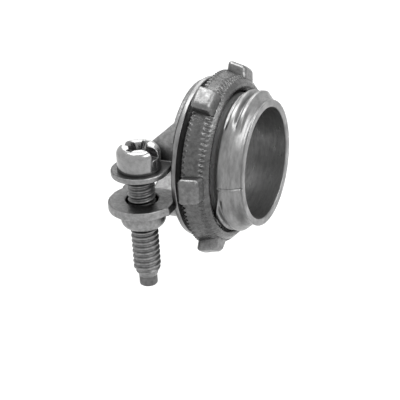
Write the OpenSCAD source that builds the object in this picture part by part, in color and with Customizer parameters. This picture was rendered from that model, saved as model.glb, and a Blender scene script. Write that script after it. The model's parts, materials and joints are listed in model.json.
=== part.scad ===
// One-screw squeeze connector for flexible conduit, with its locknut.
// The nipple points along +X, the clamp screw along +Z, and x = 0 is the
// face of the flange that meets the box wall. Millimetres.

/* [Nipple] */
// Radius of the wire way
throat_r = 10.35; // [9:0.05:11]
// Mean radius of the nipple's thread
nipple_r = 12.65; // [12:0.05:13.5]
// Length of the nipple from the flange face
nipple_len = 11.6; // [9:0.1:16]
// Outside radius at the tip of the nipple
tip_r = 11.6; // [11:0.05:12]
// Length of the lead-in taper at the tip
tip_taper = 1.7; // [0.8:0.1:2.5]
// Rounding of the mouth, taken as a chamfer
mouth_chamfer = 0.3; // [0.1:0.05:0.6]

/* [Flange] */
// Radius of the flange, larger than the knockout
flange_r = 14.9; // [14.7:0.1:15.6]
// Thickness of the flange
flange_t = 1.0; // [0.8:0.1:1.6]
// Edge chamfer of the flange
flange_edge = 0.2; // [0.1:0.05:0.3]

/* [Clamp] */
// Radius of the clamp bore, which holds the conduit
clamp_bore_r = 10.8; // [10.6:0.05:11.2]
// Wall of the cradle and the jaw
clamp_wall = 1.2; // [0.9:0.1:1.6]
// Reach of the cradle behind the flange face, at the lower ear
cradle_len = 12.4; // [11.8:0.1:13.4]
// Rake of the cradle's back edge, which reaches further at the bottom
cradle_rake = 10; // [0:1:14]
// Play between the jaw and the back of the flange
jaw_play = 0.25; // [0.15:0.05:0.5]
// Radius of the rim along the front of the jaw
rim_r = 14.2; // [13.4:0.1:14.6]
// Thickness of that rim
rim_t = 0.8; // [0.6:0.05:1.2]
// Height at which the rim ends on each side
rim_low_z = 7.5; // [6:0.1:8.4]
// Height of the jaw's sloped back edge where it meets the rim
slope_top_z = 10.2; // [9:0.1:10.6]
// Angle of that edge from the vertical
slope_angle = 50; // [44:1:52]

/* [Ears] */
// Distance of the screw from the nipple's axis
screw_y = 15.3; // [15:0.1:16]
// Distance of the screw behind the flange face
screw_x = 6.75; // [6.6:0.05:7.4]
// Height of the lower ear's top face
lower_ear_z = -2.7; // [-3.4:0.1:-2.4]
// Gap between the ears as delivered
ear_gap = 5.4; // [4:0.1:6]
// Radius of the upper ear's round end
upper_ear_r = 5.2; // [4.8:0.05:5.3]
// Reach of the upper ear's plate behind the screw, as a share of that radius
upper_ear_share = 0.5; // [0.2:0.05:0.8]
// Thickness of the upper ear
upper_ear_t = 0.9; // [0.8:0.1:1.4]
// Radius of the lower ear's round end
lower_ear_r = 6.15; // [5.6:0.05:6.4]
// Reach of the lower ear's plate behind the screw, as a share of that radius
lower_ear_share = 0.85; // [0.5:0.05:0.9]
// Thickness of the lower ear
lower_ear_t = 1.4; // [1:0.1:2]
// Radius of the tapped boss under the lower ear
boss_r = 4.05; // [3.7:0.05:4.5]
// Depth of the boss below the lower ear's top face
boss_depth = 5.1; // [3.6:0.1:6]
// Rounding of the foot of the boss
boss_round = 1.5; // [0.5:0.1:1.7]
// Radius of the relief at the top of the tapped hole
relief_r = 3.05; // [2.6:0.05:3.3]
// Depth of that relief
relief_depth = 1.2; // [0.4:0.1:2]

/* [Hinge] */
// Radius of the bead that the jaw turns on
bead_r = 1.5; // [1.2:0.05:1.7]
// Radial clearance of the bead in its socket
bead_clear = 0.08; // [0.03:0.01:0.1]
// Wall left between the clamp bore and the socket
socket_set = 0.75; // [0.5:0.05:0.85]
// Wall of the socket
socket_wall = 1.1; // [0.8:0.1:1.4]
// Length of the hinge behind the flange face
hinge_len = 9.6; // [7:0.1:10.5]
// Thickness of the neck between the bead and the jaw
neck_t = 1.5; // [1:0.1:1.8]
// Height of the jaw's lower end on the hinge side
jaw_end_z = 2.7; // [2.4:0.1:3.4]
// Height of the cradle's upper end on the hinge side
cradle_end_z = -0.6; // [-1:0.1:0.2]
// Swing of the jaw, from open to closed, in degrees
jaw_swing = 8.5; // [4:0.5:9]

/* [Screw] */
// Mean radius of the screw's thread
screw_r = 2.25; // [2:0.05:2.4]
// Radial clearance of the screw in the tapped boss
tap_clear = 0.06; // [0.02:0.01:0.1]
// Radial clearance of the screw in the upper ear
ear_hole_clear = 0.55; // [0.4:0.05:0.7]
// Clearance round the head in the jaw's wall
head_clear = 0.3; // [0.2:0.02:0.4]
// Radius of the head
head_r = 3.95; // [3.6:0.05:4.1]
// Height of the head's straight side
head_side = 3.0; // [2.4:0.1:3.4]
// Radius of the head's round shoulder
head_round = 1.3; // [0.8:0.1:1.6]
// Width of the driver slots
slot_w = 0.95; // [0.8:0.05:1.3]
// Depth of the driver slots
slot_depth = 1.5; // [1:0.1:2]
// Turn of the driver slots about the screw, in degrees
slot_turn = 23; // [0:1:89]
// Radius of the driver recess at the top of the head
recess_r = 2.1; // [1.6:0.05:2.4]
// Radius of the floor of that recess
recess_floor_r = 1.7; // [1:0.05:1.9]
// Depth of that recess
recess_depth = 1.8; // [1.2:0.1:2.2]
// Length of the screw under its head
screw_len = 23.5; // [18:0.1:26]
// Radius of the plain point
point_r = 1.6; // [1.2:0.05:1.8]
// Length of the plain point
point_len = 1.8; // [1:0.1:3]
// Length of the taper from the thread to the point
point_taper = 1.8; // [1:0.1:2.5]

/* [Locknut] */
// Thickness of the locknut
nut_t = 4.6; // [4:0.1:6]
// Distance of the locknut from the flange face as delivered
nut_gap = 1.6; // [0.5:0.1:4]
// Outside radius of the locknut's back face
nut_back_r = 16.3; // [15.8:0.1:17]
// Outside radius where the bevelled front begins
nut_edge_r = 15.5; // [15:0.1:15.8]
// Length of the bevelled front
nut_bevel = 1.2; // [0.8:0.1:1.8]
// Outside radius of the front face
nut_front_r = 14.3; // [14.1:0.1:14.9]
// Radius of the countersink in the front face
sink_r = 13.7; // [13.2:0.1:14]
// Depth of that countersink
sink_depth = 1.0; // [0.5:0.1:1.5]
// Radius over the lugs at the back face
lug_r = 17.5; // [17:0.1:18.4]
// Draft of the lugs, as a loss of radius to the front
lug_draft = 0.35; // [0:0.05:0.6]
// Width of a lug
lug_w = 5.2; // [4:0.1:6.5]
// Step of a lug from the back face and from the bevel
lug_step = 0.15; // [0.05:0.05:0.4]
// Number of lugs
lug_count = 6; // [4:1:8]
// Turn of the first lug from the top, towards the screw, in degrees
lug_turn = 27; // [0:1:59]
// Radial clearance of the locknut on the nipple
nut_clear = 0.1; // [0.05:0.01:0.2]

/* [Hidden] */
$fn = 96;
over = 1;
zinc = [0.55, 0.56, 0.57];
plated = [0.72, 0.73, 0.74];

clamp_r = clamp_bore_r + clamp_wall;
jaw_front = flange_t + jaw_play;
upper_ear_z = lower_ear_z + ear_gap;
seat_z = upper_ear_z + upper_ear_t;
head_top = seat_z + head_side + head_round;
socket_bore_r = bead_r + bead_clear;
socket_r = socket_bore_r + socket_wall;
hinge_y = clamp_bore_r + socket_set + socket_r;
neck_spare = 6;
neck_angle = atan2(jaw_end_z + clamp_wall / 2, clamp_bore_r + clamp_wall / 2 - hinge_y);
neck_room = asin(neck_t / 2 / socket_bore_r) + neck_spare;
head_way_r = head_r + head_clear;
nut_bore_r = nipple_r + nut_clear;

// Turns children drawn along Z to lie along X, starting at x = from
module along_x(from) {
    translate([from, 0, 0])
        rotate([0, 90, 0])
            children();
}

// A round bar along the nipple's axis
module bar_x(r, from, to) {
    along_x(from)
        cylinder(r = r, h = to - from);
}

// The half space above a height, on one side of the nipple's axis
module above(z, side) {
    big = 2 * flange_r;
    translate([-big, side > 0 ? 0 : -big, z])
        cube([2 * big, big, big]);
}

// An ear: a round end about the screw, and a plate to the clamp wall
// that reaches behind the screw by a share of the round end's radius
module ear(r, z, t, share) {
    translate([-screw_x, -screw_y, z])
        cylinder(r = r, h = t);
    translate([-screw_x - share * r, -screw_y, z])
        cube([(1 + share) * r, screw_y - clamp_bore_r + clamp_wall, t]);
}

module turned_body() {
    along_x(0)
        rotate_extrude()
            polygon([
                [throat_r, -flange_t],
                [throat_r, nipple_len - mouth_chamfer],
                [throat_r + mouth_chamfer, nipple_len],
                [tip_r, nipple_len],
                [nipple_r, nipple_len - tip_taper],
                [nipple_r, 0],
                [flange_r - flange_edge, 0],
                [flange_r, -flange_edge],
                [flange_r, flange_edge - flange_t],
                [flange_r - flange_edge, -flange_t]
            ]);
}

module boss() {
    translate([-screw_x, -screw_y, lower_ear_z - boss_depth])
        rotate_extrude()
            polygon(concat(
                [[0, boss_depth], [0, 0]],
                [for (a = [0 : 15 : 90])
                    [boss_r - boss_round + boss_round * sin(a), boss_round * (1 - cos(a))]],
                [[boss_r, boss_depth]]
            ));
}

// The open socket along the hinge side, which holds the jaw's bead
module socket() {
    reach = 3 * socket_r;
    difference() {
        translate([0, hinge_y, 0])
            bar_x(socket_r, -hinge_len, -flange_t / 2);
        translate([0, hinge_y, 0])
            bar_x(socket_bore_r, -hinge_len - over, -flange_t);
        translate([-flange_t, hinge_y, 0])
            rotate([90, 0, -90])
                linear_extrude(hinge_len + over)
                    mirror([1, 0])
                        polygon(concat([[0, 0]], [
                            for (k = [0 : 4])
                                let (a = neck_angle - neck_room
                                         + k / 4 * (2 * neck_room + jaw_swing))
                                reach * [cos(a), sin(a)]
                        ]));
    }
}

// The lower clamp half, cut to a raked back edge
module cradle() {
    big = 3 * flange_r;
    difference() {
        bar_x(clamp_r, -2 * cradle_len, -flange_t / 2);
        bar_x(clamp_bore_r, -2 * cradle_len - over, over);
        above(lower_ear_z, -1);
        above(cradle_end_z, 1);
        translate([-cradle_len, -big / 2, lower_ear_z])
            rotate([0, cradle_rake, 0])
                translate([-big, 0, -big / 2])
                    cube(big);
    }
}

module connector_body() {
    color(zinc)
    difference() {
        union() {
            turned_body();
            cradle();
            ear(lower_ear_r, lower_ear_z - lower_ear_t, lower_ear_t, lower_ear_share);
            boss();
            socket();
        }
        bar_x(clamp_bore_r, -2 * cradle_len, -flange_t);
        bar_x(throat_r, -flange_t, over);
        translate([-screw_x, -screw_y, lower_ear_z - boss_depth - over])
            cylinder(r = screw_r + tap_clear, h = boss_depth + 2 * over);
        translate([-screw_x, -screw_y, lower_ear_z - relief_depth])
            cylinder(r = relief_r, h = relief_depth + over);
    }
}

// What the jaw loses behind its sloped back edge
module slope_cut() {
    big = 3 * flange_r;
    translate([-jaw_front - rim_t, -big / 2, slope_top_z])
        rotate([0, slope_angle - 90, 0])
            translate([-big, 0, 0])
                cube([big, big, big]);
}

module jaw_wall() {
    difference() {
        bar_x(clamp_r, -cradle_len, -jaw_front);
        mirror([0, 0, 1]) above(-upper_ear_z, -1);
        mirror([0, 0, 1]) above(-jaw_end_z, 1);
        slope_cut();
    }
}

module jaw_rim() {
    intersection() {
        bar_x(rim_r, -jaw_front - rim_t, -jaw_front);
        union() {
            above(rim_low_z, -1);
            above(rim_low_z, 1);
        }
    }
}

module jaw_hinge() {
    translate([0, hinge_y, 0]) {
        bar_x(bead_r, -hinge_len, -jaw_front);
        rotate([neck_angle, 0, 0])
            translate([-hinge_len, 0, -neck_t / 2])
                cube([hinge_len - jaw_front, norm([hinge_y - clamp_bore_r, jaw_end_z]), neck_t]);
    }
}

// The room for the screw's head in the jaw's wall, with the jaw open and swung
// shut; shut, the head has come down with the part of the ear at its inner side
module head_way() {
    arm = hinge_y + screw_y;
    lift = 0.05;
    for (swing = [0, jaw_swing])
        translate([-screw_x, hinge_y, 0])
            rotate([-swing, 0, 0])
                translate([0, -arm, seat_z - (arm - head_way_r) * sin(swing) + (swing > 0 ? lift : 0)])
                    cylinder(r = head_way_r, h = 2 * rim_r);
}

module clamp_jaw() {
    color(zinc)
    difference() {
        union() {
            jaw_wall();
            jaw_rim();
            ear(upper_ear_r, upper_ear_z, upper_ear_t, upper_ear_share);
            jaw_hinge();
        }
        bar_x(clamp_bore_r, -cradle_len - over, over);
        translate([-screw_x, -screw_y, upper_ear_z - over])
            cylinder(r = screw_r + ear_hole_clear, h = upper_ear_t + 2 * over);
        head_way();
    }
}

module screw_profile() {
    end = seat_z - screw_len;
    rotate_extrude()
        polygon(concat(
            [
                [0, end],
                [point_r, end],
                [point_r, end + point_len],
                [screw_r, end + point_len + point_taper],
                [screw_r, seat_z],
                [head_r, seat_z]
            ],
            [for (a = [0 : 15 : 90])
                [head_r - head_round + head_round * cos(a), head_top - head_round + head_round * sin(a)]],
            [[0, head_top]]
        ));
}

module clamp_screw() {
    color(plated)
    translate([-screw_x, -screw_y, 0])
        difference() {
            screw_profile();
            for (a = [0, 90])
                rotate([0, 0, slot_turn + a])
                    translate([-head_r - over, -slot_w / 2, head_top - slot_depth])
                        cube([2 * (head_r + over), slot_w, slot_depth + over]);
            translate([0, 0, head_top - recess_depth])
                cylinder(r1 = recess_floor_r, r2 = recess_r, h = recess_depth);
        }
}

module nut_ring() {
    along_x(nut_gap)
        rotate_extrude()
            polygon([
                [nut_bore_r, 0],
                [nut_back_r, 0],
                [nut_edge_r, nut_t - nut_bevel],
                [nut_front_r, nut_t],
                [sink_r, nut_t],
                [nut_bore_r, nut_t - sink_depth]
            ]);
}

// A lug at the top of the locknut, rooted in the ring
module lug() {
    lug_len = nut_t - nut_bevel - 2 * lug_step;
    intersection() {
        along_x(nut_gap + lug_step)
            cylinder(r1 = lug_r, r2 = lug_r - lug_draft, h = lug_len);
        translate([nut_gap + lug_step, -lug_w / 2, nut_front_r])
            cube([lug_len, lug_w, lug_r]);
    }
}

module locknut() {
    color(zinc)
    union() {
        nut_ring();
        for (k = [0 : lug_count - 1])
            rotate([lug_turn + k * 360 / lug_count, 0, 0])
                lug();
    }
}

connector_body();
clamp_jaw();
clamp_screw();
locknut();
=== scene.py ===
import json
import math

import bmesh
import bpy
import numpy as np
from mathutils import Matrix, Vector


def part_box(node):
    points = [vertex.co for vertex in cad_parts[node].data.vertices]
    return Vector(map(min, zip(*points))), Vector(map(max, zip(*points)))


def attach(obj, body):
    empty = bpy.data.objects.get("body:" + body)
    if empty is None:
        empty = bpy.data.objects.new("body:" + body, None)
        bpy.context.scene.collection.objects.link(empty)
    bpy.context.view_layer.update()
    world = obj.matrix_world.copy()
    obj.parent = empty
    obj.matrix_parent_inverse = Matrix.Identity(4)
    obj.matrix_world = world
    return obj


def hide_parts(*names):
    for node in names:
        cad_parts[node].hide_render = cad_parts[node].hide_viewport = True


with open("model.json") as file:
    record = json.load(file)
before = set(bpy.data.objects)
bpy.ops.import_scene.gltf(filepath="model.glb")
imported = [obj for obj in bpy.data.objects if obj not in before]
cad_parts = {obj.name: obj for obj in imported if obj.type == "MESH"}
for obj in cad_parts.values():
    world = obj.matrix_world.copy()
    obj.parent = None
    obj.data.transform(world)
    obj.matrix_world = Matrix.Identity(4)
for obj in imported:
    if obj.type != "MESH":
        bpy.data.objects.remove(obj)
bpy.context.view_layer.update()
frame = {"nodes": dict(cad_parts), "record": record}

# Units: the meshes are built in millimetres and stored in metres
MM = 0.001


def box_mm(node):
    """A CAD node's lowest and highest corners in millimetres."""
    return [np.array(corner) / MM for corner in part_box(node)]


def mount_mm(name, size):
    """A stated size of one of the record's mounts, in millimetres."""
    mount = next(m for m in frame["record"]["mounts"] if m["name"] == name)
    return mount["dims"][size]


# Sizes read from the frame
body_low, body_high = box_mm("connector_body")
screw_low, screw_high = box_mm("clamp_screw")
nut_low, nut_high = box_mm("locknut")
jaw_low, jaw_high = box_mm("clamp_jaw")
throat_r = mount_mm("throat", "r_mm")
crest_r = mount_mm("knockout_nipple", "r_mm")
nipple_len = body_high[0]
flange_r = -body_low[2]
screw_x, screw_y = (screw_low[:2] + screw_high[:2]) / 2

# Nipple and flange
flange_t = 1.0
neck_r = 12.4
neck_slope = 0.7
neck_end = 7.1
side_r = 12.9
lead_in = 9.3
lip_r = 11.7
lip_len = 0.7
lip_flare = 0.05
lip_groove = 0.2
lip_groove_back = 0.42
lip_groove_half = 0.1
parting_step = 0.14
parting_span = 0.06
parting_points = 25
nipple_angles = 330
nipple_step = 0.16

# The nipple's thread, whose sectors fade in between two angles above or below the axis
thread_pitch = 1.814
thread_end = 10.2
groove_x = 8.8
groove_half = 0.62
groove_depth = 0.8
top_sector = (46, 64)
hidden_start = 0.9
hidden_end = 4.6

# The nipple's lower side: a thread that runs back to the nut, and a hollow towards the mouth
bottom_sector = (6, 24)
low_crest_r = 13.05
low_crest_end = 8.2
low_shift = 0.5
run_back_sector = (2, 48)
low_run_back = 2.4
hollow_sector = (6, 38)
hollow_r = 11.4
hollow_low = 10.3
hollow_high = 11.0
low_lip_r = 11.65

# The nipple's parting line: the middle and half width of its ridge and of its groove
parting_ridge = (-0.16, 0.15)
parting_groove = (0.18, 0.13)

# The nipple's shares of its colour, painted light and shade: a little lighter in the bore, darker in the
# hollow under the mouth, darker in hollows elsewhere, and much lighter in the shaded neck beside the nut
bore_tone = 1.08
hollow_tone = 0.4
plain_crevice = 0.7
neck_crevice = 3.6

# Cradle: the gap behind the flange where it is cut, and how far its closed end goes into the flange
cradle_gap = 0.02
cradle_sink = 0.5

# Jaw
rim_t = 0.8
slope_top = 10.2

# Screw
seat_z = 3.6
screw_crest_r = 2.55
screw_root_r = 2.12
screw_pitch = 1.05
thread_edge = 1.3
point_r = 1.7
point_len = 1.9
point_taper = 1.8
point_drop = 0.15
point_low = screw_low[2] - point_drop
point_round = 0.35
point_step = 0.05
shank_root = 0.5
shank_step = screw_pitch / 14
shank_angles = 64
head_r = 3.98
head_round = 1.3
head_angles = 120
slot_turn = -14
slot_w = 1.7
slot_depth = 1.8
arm_half = 2.7
arm_w = 1.2
arm_depth = 2.2
core_top = 2.9 * arm_w
core_floor = 1.9 * arm_w

# Locknut
nut_bore_r = 12.75
nut_back_r = 16.3
nut_edge_r = 15.5
nut_bevel = 1.2
nut_front_r = 14.3
sink_r = 13.7
sink_depth = 1.0
nut_step = 0.2
tooth_count = 104
tooth_points = 8
tooth_power = 1.5
back_tooth = 0.55
back_tooth_len = 1.0
front_tooth = 0.42
front_tooth_half = 0.42
lug_root_r = 14.6
lug_r = 18.1
lug_draft = 0.85
lug_w = 5.3
lug_top_w = 4.4
lug_len = 4.0
lug_top_len = 3.6
lug_count = 6
lug_turn = 27
lug_bevel = 0.62
lug_bevel_steps = 6
lug_bevel_profile = 0.42
lug_cuts = 7

# Finishes: the ranges of noise, of openness and of upward slope over which a finish changes; openness and
# upward slope set the painted shade in hollows and on faces that look up
metallic = 0.9
mottle_range = (0.34, 0.68)
gloss_range = (0.3, 0.7)
open_range = (0.25, 0.85)
upward_range = (0.75, 0.97)

# Studio: the floor in millimetres, the rest in metres
floor_z = -80
floor_half = 4000
floor_white = 0.9
glow_distances = (0.15, 0.7)
glow_strengths = (0.2, 0.65)
world_light = 0.35
world_seen = 1.0
lamp_distance = 0.45
lamps = (
    ("key", (-0.17, 0.25, 0.95), (0.3, 0.3), 1.45),
    ("rim", (-0.38, 0.79, 0.48), (0.16, 0.16), 0.22),
    ("side", (0.68, -0.03, 0.73), (0.34, 0.22), 0.95),
)

# Camera: azimuth, elevation and roll in degrees, and the focal length in pixels
camera_angles = (25.2, 26.47, -3.77)
camera_at = (0.12032, -0.26075, 0.13387)
focal_px = 1700
image_px = 400


# Mesh helpers

def add_object(name, verts, faces):
    """A smooth-shaded mesh object from points in millimetres."""
    mesh = bpy.data.meshes.new(name)
    mesh.from_pydata((np.asarray(verts, float) * MM).tolist(), [], faces)
    work = bmesh.new()
    work.from_mesh(mesh)
    bmesh.ops.recalc_face_normals(work, faces=work.faces)
    work.to_mesh(mesh)
    work.free()
    mesh.shade_smooth()
    obj = bpy.data.objects.new(name, mesh)
    bpy.context.scene.collection.objects.link(obj)
    return obj


def grid_faces(rows, columns, wrap_rows):
    """Quads of a grid that closes on itself along its columns, and along its rows if asked."""
    faces = []
    for i in range(rows if wrap_rows else rows - 1):
        for j in range(columns):
            a, b = i * columns, (i + 1) % rows * columns
            k = (j + 1) % columns
            faces.append((a + j, a + k, b + k, b + j))
    return faces


def capped_faces(rows, columns):
    """Quads of a grid that closes on itself along its columns, with a face over its first and last row."""
    size = rows * columns
    ends = [list(range(columns)), list(range(size - columns, size))]
    return grid_faces(rows, columns, False) + ends


def rounded_loop(corners, step, plain_r, arc_points=6):
    """A closed profile: each corner is (x, r, cut), rounded from a distance cut on, in short steps,
    which are longer on the plain bore, at plain_r."""
    loop = []
    count = len(corners)
    for i in range(count):
        before, here, after = (np.array(corners[j % count][:2]) for j in (i - 1, i, i + 1))
        cut = corners[i][2]
        start = here + (before - here) / np.linalg.norm(before - here) * cut
        end = here + (after - here) / np.linalg.norm(after - here) * cut
        for t in np.linspace(0, 1, arc_points):
            loop.append((1 - t) ** 2 * start + 2 * t * (1 - t) * here + t * t * end)
    fine = []
    for a, b in zip(loop, loop[1:] + loop[:1]):
        reach = step if max(a[1], b[1]) > plain_r + 0.01 else 5 * step
        pieces = max(1, math.ceil(np.linalg.norm(b - a) / reach))
        fine += [a + (b - a) * k / pieces for k in range(pieces)]
    return np.array(fine)


def smooth_step(value, low, high):
    """A smooth ramp from 0 at low to 1 at high."""
    t = np.clip((value - low) / (high - low), 0, 1)
    return t * t * (3 - 2 * t)


def between(x, low, high, ramp=0.1):
    """1 from low to high, 0 outside, with short ramps."""
    return smooth_step(x, low - ramp, low + ramp) * smooth_step(-x, -high - ramp, -high + ramp)


def ridge(x, centre, half):
    """A smooth ridge of height 1."""
    return np.exp(-(((x - centre) / half) ** 2))


def climb(phi):
    """The angle above the level of the axis, alike on both sides."""
    return np.arctan2(np.sin(phi), np.abs(np.cos(phi)))


def sector(angle, limits):
    """A ramp from 0 to 1 between two angles in degrees."""
    return smooth_step(angle, *np.radians(limits))


def turned(name, profile, angles, offset, tones=None):
    """A closed profile of (x, r) turned about X, with an offset of (x, r) for each point and angle.
    Angles run from the screw's side, -Y, over the top, +Z. Tones go into the mesh as attributes."""
    x = np.repeat(profile[:, :1], len(angles), axis=1)
    r = np.repeat(profile[:, 1:], len(angles), axis=1)
    phi = np.repeat(angles[None, :], len(profile), axis=0)
    dx, dr = offset(x, r, phi)
    verts = np.stack([x + dx, -(r + dr) * np.cos(phi), (r + dr) * np.sin(phi)], axis=-1)
    obj = add_object(name, verts.reshape(-1, 3), grid_faces(*x.shape, True))
    if tones:
        for title, values in tones(x, r, phi).items():
            obj.data.attributes.new(title, "FLOAT", "POINT").data.foreach_set("value", values.ravel())
    return obj


def solid(name, work):
    """An object from a bmesh in millimetres."""
    mesh = bpy.data.meshes.new(name)
    work.to_mesh(mesh)
    work.free()
    obj = bpy.data.objects.new(name, mesh)
    bpy.context.scene.collection.objects.link(obj)
    return obj


def unit_cube():
    work = bmesh.new()
    bmesh.ops.create_cube(work, size=1)
    return work


def node_copy(node):
    """A CAD node's mesh as a bmesh in millimetres."""
    work = bmesh.new()
    work.from_mesh(frame["nodes"][node].data)
    bmesh.ops.scale(work, vec=(1 / MM,) * 3, verts=work.verts)
    bmesh.ops.remove_doubles(work, verts=work.verts, dist=1e-4)
    return work


def keep_behind(work, x, sink):
    """Drops what lies in front of a plane across X, and moves the closed end forwards."""
    everything = work.verts[:] + work.edges[:] + work.faces[:]
    result = bmesh.ops.bisect_plane(
        work, geom=everything, dist=1e-5, plane_co=(x, 0, 0), plane_no=(1, 0, 0), clear_outer=True
    )
    rim = [e for e in result["geom_cut"] if isinstance(e, bmesh.types.BMEdge)]
    bmesh.ops.holes_fill(work, edges=rim)
    for vert in {v for e in rim for v in e.verts}:
        vert.co.x += sink
    return work


def box_cutter(low, high):
    """A box between two corners, to cut with."""
    work = unit_cube()
    for vert in work.verts:
        vert.co = [a if at < 0 else b for a, b, at in zip(low, high, vert.co)]
    return solid("cutter", work)


def cast(name, work, voxel, passes, grow, cutters=()):
    """A bmesh in millimetres, less its cutters, with rounded edges, and grown by what rounding took."""
    obj = solid(name, work)
    for cutter in cutters:
        less = obj.modifiers.new("less", "BOOLEAN")
        less.operation = "DIFFERENCE"
        less.object = cutter
    remesh = obj.modifiers.new("cast", "REMESH")
    remesh.mode = "VOXEL"
    remesh.voxel_size = voxel
    soften = obj.modifiers.new("soften", "SMOOTH")
    soften.factor = 0.5
    soften.iterations = passes
    swell = obj.modifiers.new("swell", "DISPLACE")
    swell.strength = grow
    swell.mid_level = 0
    bpy.context.view_layer.update()
    final = bpy.data.meshes.new_from_object(obj.evaluated_get(bpy.context.evaluated_depsgraph_get()))
    obj.modifiers.clear()
    for cutter in cutters:
        bpy.data.objects.remove(cutter)
    final.transform(Matrix.Scale(MM, 4))
    final.shade_smooth()
    obj.data = final
    return obj


# Pieces

def nipple_tones(x, r, phi):
    """Painted light and shade as shares of the colour: a little lighter in the bore, darker in the hollow
    under the mouth, and lighter where the neck beside the nut lies in shade.
    """
    outer = smooth_step(r, throat_r + 0.4, throat_r + 0.8)
    below = sector(-climb(phi), hollow_sector)
    neck = outer * (r < side_r) * between(x, nut_high[0] - 0.8, neck_end, 0.3) * (1 - below)
    hollow = outer * below * between(x, low_crest_end + 1.1, hollow_high, 0.5)
    return {
        "tone": bore_tone + (1 - bore_tone) * outer + (hollow_tone - 1) * hollow,
        "crevice": plain_crevice + (neck_crevice - plain_crevice) * neck,
    }


def nipple_thread(x, r, phi):
    """The thread above, below and under the nut, as its height over the plain nipple."""
    bottom = sector(-climb(phi), bottom_sector)
    hidden = between(x, hidden_start, hidden_end)
    low_start = neck_end - low_run_back * sector(-climb(phi), run_back_sector)
    upper = sector(climb(phi), top_sector) * (between(x, neck_end, thread_end) + hidden)
    lower = bottom * np.maximum(between(x, low_start, low_crest_end, 0.2), hidden)
    turns = (x - groove_x + low_shift * bottom) / thread_pitch + (phi - math.pi / 2) / (2 * math.pi)
    away = np.abs(turns - np.round(turns)) * thread_pitch
    groove = np.where(away < groove_half, 0.5 + 0.5 * np.cos(math.pi * away / groove_half), 0)
    below_crest = r + groove_depth * groove
    return upper * (crest_r - below_crest) + lower * (low_crest_r - below_crest)


def nipple_hollow(x, r, phi):
    """How far the nipple narrows on its lower side, from the thread's end to the mouth."""
    whole = np.interp(
        x,
        [lead_in, nipple_len - lip_len, nipple_len],
        [side_r, lip_r + lip_flare, lip_r],
    )
    lowered = np.interp(
        x,
        [low_crest_end, hollow_low, hollow_high, nipple_len - lip_len / 2],
        [low_crest_r, hollow_r, hollow_r, low_lip_r],
    )
    ahead = smooth_step(x, low_crest_end - 0.2, low_crest_end + 0.2)
    below = sector(-climb(phi), hollow_sector)
    return below * ahead * ((lowered - throat_r) / (whole - throat_r) - 1) * (r - throat_r)


def nipple_lines(x, r, phi):
    """The parting line along both sides, and the fine groove behind the mouth."""
    height = r * np.sin(phi)
    parting = ridge(height, *parting_ridge) - ridge(height, *parting_groove)
    parting = parting * smooth_step(x, neck_end, neck_end + 0.4)
    groove = ridge(x, nipple_len - lip_groove_back, lip_groove_half)
    return parting_step * parting - lip_groove * groove


def nipple_offset(x, r, phi):
    outside = smooth_step(r, lip_r - 0.2, lip_r - 0.1) * (r < neck_r + 1)
    detail = nipple_thread(x, r, phi) + nipple_lines(x, r, phi)
    return np.zeros_like(x), outside * detail + nipple_hollow(x, r, phi)


def make_nipple():
    profile = rounded_loop(
        [
            (-flange_t, throat_r, 0.1),
            (nipple_len, throat_r, 0.3),
            (nipple_len, lip_r, 0.12),
            (nipple_len - lip_len, lip_r + lip_flare, 0.3),
            (lead_in, side_r, 1.1),
            (neck_end, side_r, 0.3),
            (neck_end - neck_slope, neck_r, 0.3),
            (0, neck_r, 0.25),
            (0, flange_r, 0.25),
            (-flange_t, flange_r, 0.3),
        ],
        step=nipple_step,
        plain_r=throat_r,
    )
    even = np.linspace(-math.pi, math.pi, nipple_angles, endpoint=False)
    parting = np.linspace(-parting_span, parting_span, parting_points)
    angles = np.unique(np.concatenate([even, parting, parting + math.pi]) % (2 * math.pi))
    return turned("nipple_and_flange", profile, angles, nipple_offset, nipple_tones)


def make_locknut_ring():
    back, front = nut_low[0], nut_high[0]
    edge = front - nut_bevel
    profile = rounded_loop(
        [
            (back, nut_bore_r, 0.2),
            (back, nut_back_r, 0.15),
            (edge, nut_edge_r, 0.15),
            (front, nut_front_r, 0.2),
            (front, sink_r, 0.15),
            (front - sink_depth, nut_bore_r, 0.2),
        ],
        step=nut_step,
        plain_r=nut_bore_r,
    )
    angles = np.linspace(0, 2 * math.pi, tooth_count * tooth_points, endpoint=False)

    def offset(x, r, phi):
        gap = np.abs(np.cos(tooth_count / 2 * phi)) ** tooth_power
        outer = smooth_step(r, nut_edge_r - 0.9, nut_edge_r - 0.2)
        near_back = smooth_step(-x, -back - back_tooth_len, -back) * outer
        near_edge = ridge(x, edge, front_tooth_half) * outer
        return gap * near_back * back_tooth, -gap * near_edge * front_tooth

    return turned("locknut_ring", profile, angles, offset)


def make_lugs():
    """Six lugs with drafted sides, bent to the ring's curve and rooted in it."""
    work = unit_cube()
    for vert in work.verts:
        at_top = vert.co.z > 0
        vert.co.x = (vert.co.x + 0.5) * (lug_top_len if at_top else lug_len)
        vert.co.y *= lug_top_w if at_top else lug_w
        vert.co.z = lug_r if at_top else lug_root_r
    bmesh.ops.bevel(
        work,
        geom=work.edges[:],
        offset=lug_bevel,
        segments=lug_bevel_steps,
        profile=lug_bevel_profile,
        affect="EDGES",
    )
    long_edges = [e for e in work.edges if e.calc_length() > 1]
    bmesh.ops.subdivide_edges(work, edges=long_edges, cuts=lug_cuts, use_grid_fill=True)
    local = np.array([v.co for v in work.verts])
    quads = [[v.index for v in f.verts] for f in work.faces]
    work.free()
    along, across, radius = local.T
    radius = radius - lug_draft * along / lug_top_len * smooth_step(radius, lug_root_r, lug_r)
    x = nut_low[0] + along
    verts, faces = [], []
    for k in range(lug_count):
        angle = math.radians(lug_turn + k * 360 / lug_count) + across / nut_back_r
        start = k * len(local)
        verts.append(np.stack([x, -radius * np.sin(angle), radius * np.cos(angle)], axis=1))
        faces += [[start + i for i in quad] for quad in quads]
    return add_object("locknut_lugs", np.concatenate(verts), faces)


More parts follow.
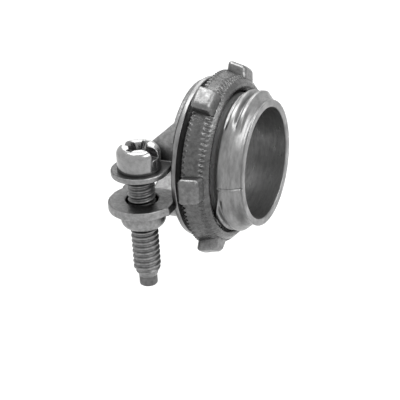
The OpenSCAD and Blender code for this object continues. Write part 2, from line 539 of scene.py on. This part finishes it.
def tapered_box(top_size, floor_size, depth, turn):
    """A cutter for the screw's head, from just above its top down to a depth."""
    work = unit_cube()
    for vert in work.verts:
        length, width = top_size if vert.co.z > 0 else floor_size
        vert.co.x *= length
        vert.co.y *= width
        vert.co.z = screw_high[2] + (0.1 if vert.co.z > 0 else -depth)
    about_z = Matrix.Rotation(math.radians(turn), 3, "Z")
    bmesh.ops.rotate(work, cent=(0, 0, 0), matrix=about_z, verts=work.verts)
    bmesh.ops.translate(work, vec=(screw_x, screw_y, 0), verts=work.verts)
    return solid("cutter", work)


def make_head():
    """The screw's head: a round shoulder, a slot right across and a cross arm that ends inside it."""
    top = screw_high[2]
    turn = np.radians(np.arange(0, 91, 10))
    radii = np.append(head_r, head_r - head_round * (1 - np.cos(turn)))
    heights = np.append(seat_z, top - head_round * (1 - np.sin(turn)))
    angles = np.linspace(0, 2 * math.pi, head_angles, endpoint=False)
    x = screw_x + radii[:, None] * np.cos(angles)
    y = screw_y + radii[:, None] * np.sin(angles)
    z = np.repeat(heights[:, None], len(angles), axis=1)
    work = bmesh.new()
    verts = [work.verts.new(point) for point in np.stack([x, y, z], axis=-1).reshape(-1, 3)]
    for face in capped_faces(*z.shape):
        work.faces.new([verts[i] for i in face])
    bmesh.ops.recalc_face_normals(work, faces=work.faces)
    slot = tapered_box((3 * head_r, slot_w), (3 * head_r, slot_w), slot_depth, slot_turn)
    arm = tapered_box((2 * arm_half, arm_w), (arm_half, arm_w), arm_depth, slot_turn + 90)
    core = tapered_box((core_top, core_top), (core_floor, core_floor), arm_depth, slot_turn + 45)
    return cast("screw_head", work, voxel=0.08, passes=3, grow=0.03, cutters=(slot, arm, core))


def make_shank(name, low, high, step):
    """A length of the screw below its head, closed at both ends: thread, taper and plain point."""
    heights = np.append(np.arange(low, high, step), high)
    angles = np.linspace(0, 2 * math.pi, shank_angles, endpoint=False)
    z = np.repeat(heights[:, None], len(angles), axis=1)
    theta = np.repeat(angles[None, :], len(heights), axis=0)
    wave = np.tanh(thread_edge * np.cos(2 * math.pi * z / screw_pitch - theta)) / math.tanh(thread_edge)
    grown = np.clip((z - point_low - point_len) / point_taper, 0, 1)
    crest = point_r + (screw_crest_r - point_r) * grown
    root = point_r + (screw_root_r - point_r) * grown
    r = (crest + root) / 2 + wave * (crest - root) / 2
    rise = np.clip((z - point_low) / point_round, 0, 1)
    r -= point_round * (1 - np.sqrt(1 - (1 - rise) ** 2))
    verts = np.stack([screw_x + r * np.cos(theta), screw_y + r * np.sin(theta), z], axis=-1)
    return add_object(name, verts.reshape(-1, 3), capped_faces(*z.shape))


# Materials

def link(tree, source, output, target, socket):
    tree.links.new(source.outputs[output], target.inputs[socket])


def new_node(tree, kind, **values):
    """A shader node with some of its inputs set."""
    node = tree.nodes.new(kind)
    for socket, value in values.items():
        node.inputs[socket.replace("_", " ")].default_value = value
    return node


def math_node(tree, kind, operation):
    node = tree.nodes.new(kind)
    node.operation = operation
    return node


def attribute_node(tree, name):
    node = tree.nodes.new("ShaderNodeAttribute")
    node.attribute_name = name
    return node


def range_node(tree, source, output, old, new):
    """One output stretched from one range to another."""
    node = new_node(
        tree, "ShaderNodeMapRange", From_Min=old[0], From_Max=old[1], To_Min=new[0], To_Max=new[1]
    )
    link(tree, source, output, node, "Value")
    return node


def shaded(tree, colour, output, factor, share="Result"):
    """A colour multiplied by a factor."""
    node = math_node(tree, "ShaderNodeVectorMath", "SCALE")
    link(tree, colour, output, node, "Vector")
    link(tree, factor, share, node, "Scale")
    return node


def metal(name, greys, rough, grain, bump, crevice, reach=2.5, upward_shade=1.0, toned=False, drawn=1.0):
    """Metal with mottled colour and gloss.
    greys and rough: the ranges of the colour and of the roughness.
    grain: the mottling's size in millimetres. drawn: below 1, it is drawn out around X.
    crevice and the upward share: painted shade, as the shares of the colour in hollows and on faces that
    look up.
    reach: how far apart the walls of a hollow may be, in millimetres.
    toned: takes the mesh's own shares, tone and crevice."""
    material = bpy.data.materials.new(name)
    material.use_nodes = True
    tree = material.node_tree
    shader = tree.nodes["Principled BSDF"]
    shader.inputs["Metallic"].default_value = metallic

    place = tree.nodes.new("ShaderNodeTexCoord")
    around = math_node(tree, "ShaderNodeVectorMath", "MULTIPLY")
    around.inputs[1].default_value = (1, drawn, drawn)
    link(tree, place, "Object", around, 0)
    mottle = new_node(tree, "ShaderNodeTexNoise", Scale=1 / (grain * MM), Detail=5, Roughness=0.65)
    link(tree, around, "Vector", mottle, "Vector")
    ramp = tree.nodes.new("ShaderNodeValToRGB")
    for element, position, grey in zip(ramp.color_ramp.elements, mottle_range, greys):
        element.position = position
        element.color = (grey, grey, grey, 1)
    link(tree, mottle, "Fac", ramp, "Fac")

    # Painted shade: the colour darkens where ambient occlusion finds walls close by, in hollows and
    # between parts
    hollow = new_node(tree, "ShaderNodeAmbientOcclusion", Distance=reach * MM)
    depth = range_node(tree, hollow, "AO", open_range, (crevice, 1))
    paint = shaded(tree, ramp, "Color", depth)
    # Painted shade: faces that look up are darkened, more the further they face up
    if upward_shade < 1:
        facing = tree.nodes.new("ShaderNodeNewGeometry")
        upward = tree.nodes.new("ShaderNodeSeparateXYZ")
        link(tree, facing, "Normal", upward, "Vector")
        top_shade = range_node(tree, upward, "Z", upward_range, (1, upward_shade))
        paint = shaded(tree, paint, "Vector", top_shade)
    # Painted light and shade from the mesh's own shares: tone scales the colour, and crevice sets how far
    # it changes in occluded places
    if toned:
        paint = shaded(tree, paint, "Vector", attribute_node(tree, "tone"), "Fac")
        link(tree, attribute_node(tree, "crevice"), "Fac", depth, "To Min")
    link(tree, paint, "Vector", shader, "Base Color")

    gloss = range_node(tree, mottle, "Fac", gloss_range, (rough[1], rough[0]))
    link(tree, gloss, "Result", shader, "Roughness")
    fine = new_node(tree, "ShaderNodeTexNoise", Scale=3 / (grain * MM), Detail=3)
    link(tree, around, "Vector", fine, "Vector")
    height = new_node(tree, "ShaderNodeBump", Strength=bump, Distance=0.1 * MM)
    link(tree, fine, "Fac", height, "Height")
    link(tree, height, "Normal", shader, "Normal")
    return material


# Studio

def light_path_flag(tree):
    """1 for camera, glossy and transmission rays, 0 for the rest."""
    path = tree.nodes.new("ShaderNodeLightPath")
    flag = path.outputs["Is Camera Ray"]
    for ray in ("Is Glossy Ray", "Is Transmission Ray"):
        either = math_node(tree, "ShaderNodeMath", "MAXIMUM")
        tree.links.new(flag, either.inputs[0])
        tree.links.new(path.outputs[ray], either.inputs[1])
        flag = either.outputs[0]
    return flag


def make_world():
    """A white surround that lights the part less than it is seen."""
    world = bpy.data.worlds.new("studio")
    bpy.context.scene.world = world
    world.use_nodes = True
    tree = world.node_tree
    background = tree.nodes["Background"]
    background.inputs["Color"].default_value = (1, 1, 1, 1)
    strength = new_node(tree, "ShaderNodeMapRange", To_Min=world_light, To_Max=world_seen)
    tree.links.new(light_path_flag(tree), strength.inputs["Value"])
    link(tree, strength, "Result", background, "Strength")


def make_floor():
    """A pale floor that takes the part's shadow, with a glow that keeps it white far away."""
    around = ((-1, -1), (1, -1), (1, 1), (-1, 1))
    corners = [(floor_half * x, floor_half * y, floor_z) for x, y in around]
    floor = add_object("floor", corners, [(0, 1, 2, 3)])
    material = bpy.data.materials.new("pale_floor")
    material.use_nodes = True
    tree = material.node_tree
    tree.nodes.clear()
    matte = new_node(tree, "ShaderNodeBsdfDiffuse", Color=(floor_white, floor_white, floor_white, 1))
    glow = tree.nodes.new("ShaderNodeEmission")
    place = tree.nodes.new("ShaderNodeTexCoord")
    away = math_node(tree, "ShaderNodeVectorMath", "LENGTH")
    link(tree, place, "Object", away, 0)
    fade = range_node(tree, away, "Value", glow_distances, glow_strengths)
    seen = math_node(tree, "ShaderNodeMath", "MULTIPLY")
    tree.links.new(light_path_flag(tree), seen.inputs[0])
    link(tree, fade, "Result", seen, 1)
    link(tree, seen, "Value", glow, "Strength")
    both = tree.nodes.new("ShaderNodeAddShader")
    out = tree.nodes.new("ShaderNodeOutputMaterial")
    link(tree, matte, "BSDF", both, 0)
    link(tree, glow, "Emission", both, 1)
    link(tree, both, "Shader", out, "Surface")
    floor.data.materials.append(material)


def make_lamp(name, direction, size, power):
    """A soft box that faces the part from a direction."""
    lamp = bpy.data.lights.new(name, "AREA")
    lamp.shape = "RECTANGLE"
    lamp.size, lamp.size_y = size
    lamp.energy = power
    obj = bpy.data.objects.new(name, lamp)
    bpy.context.scene.collection.objects.link(obj)
    way = Vector(direction).normalized()
    obj.location = way * lamp_distance
    obj.rotation_euler = way.to_track_quat("Z", "Y").to_euler()


def make_camera():
    """The photograph's view."""
    azimuth, elevation, roll = (math.radians(angle) for angle in camera_angles)
    back = Vector((
        math.sin(azimuth) * math.cos(elevation),
        -math.cos(azimuth) * math.cos(elevation),
        math.sin(elevation),
    ))
    right = Vector((math.cos(azimuth), math.sin(azimuth), 0))
    up = back.cross(right)
    side = right * math.cos(roll) + up * math.sin(roll)
    top = up * math.cos(roll) - right * math.sin(roll)
    data = bpy.data.cameras.new("camera")
    data.sensor_width = 36
    data.lens = data.sensor_width * focal_px / image_px
    data.clip_start = 0.01
    camera = bpy.data.objects.new("camera", data)
    bpy.context.scene.collection.objects.link(camera)
    turn = Matrix((side, top, back)).transposed().to_4x4()
    camera.matrix_world = Matrix.Translation(camera_at) @ turn
    bpy.context.scene.camera = camera


def dress(obj, body, node, material):
    """Gives a piece its body, the CAD node that it stands for and its finish."""
    obj.data.materials.clear()
    obj.data.materials.append(material)
    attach(obj, body)
    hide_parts(node)


# Finishes: greys, roughness, grain, bump and crevice, the share of the colour in hollows, which paints
# shade there; the upward shares of the cradle and the jaw paint shade on faces that look up
nipple_cast = metal(
    "nipple_zinc", (0.18, 0.31), (0.26, 0.42), 0.7, 0.25, plain_crevice, toned=True, drawn=0.25
)
cradle_cast = metal("cradle_zinc", (0.21, 0.35), (0.32, 0.46), 0.7, 0.4, 0.08, reach=8, upward_shade=0.4)
jaw_cast = metal("jaw_zinc", (0.2, 0.34), (0.32, 0.46), 0.7, 0.4, 0.1, upward_shade=0.36)
nut_cast = metal("nut_zinc", (0.08, 0.15), (0.2, 0.34), 0.8, 0.5, 0.6)
# Painted light: the lugs take a lighter copy of the nut's zinc, so that they stand out brighter
lug_lit_cast = metal("lug_zinc", (0.12, 0.23), (0.24, 0.4), 0.8, 0.4, 0.4)
head_plate = metal("head_plating", (0.26, 0.34), (0.14, 0.24), 1.0, 0.1, 0.3)
shank_plate = metal("shank_plating", (0.2, 0.32), (0.42, 0.55), 0.8, 0.2, 0.06)
# Painted shade: the point takes a darker copy of the shank's plating, so that it reflects darker
point_shaded_plate = metal("point_plating_shaded", (0.11, 0.18), (0.4, 0.55), 0.8, 0.3, 0.1)

# The body: a turned nipple and flange, and the cradle behind them from the CAD node
dress(make_nipple(), "body", "connector_body", nipple_cast)
cradle_form = keep_behind(node_copy("connector_body"), -flange_t - cradle_gap, cradle_sink)
cradle = cast("clamp_cradle", cradle_form, voxel=0.15, passes=4, grow=0.1)
dress(cradle, "body", "connector_body", cradle_cast)

# The jaw from its CAD node, less the thin crescent that stands over its slope behind the rim
over_slope = box_cutter(
    (jaw_low[0] - 1, -flange_r, slope_top), (jaw_high[0] - rim_t, flange_r, 2 * flange_r)
)
jaw = cast("clamp_jaw_cast", node_copy("clamp_jaw"), voxel=0.13, passes=4, grow=0.06, cutters=[over_slope])
dress(jaw, "jaw", "clamp_jaw", jaw_cast)

dress(make_head(), "screw", "clamp_screw", head_plate)
shank = make_shank("screw_shank", point_low + point_len, seat_z + shank_root, shank_step)
dress(shank, "screw", "clamp_screw", shank_plate)
point = make_shank("screw_point", point_low, point_low + point_len, point_step)
dress(point, "screw", "clamp_screw", point_shaded_plate)

dress(make_locknut_ring(), "nut", "locknut", nut_cast)
dress(make_lugs(), "nut", "locknut", lug_lit_cast)

make_world()
make_floor()
for lamp in lamps:
    make_lamp(*lamp)
make_camera()
bpy.context.scene.view_settings.view_transform = "Standard"
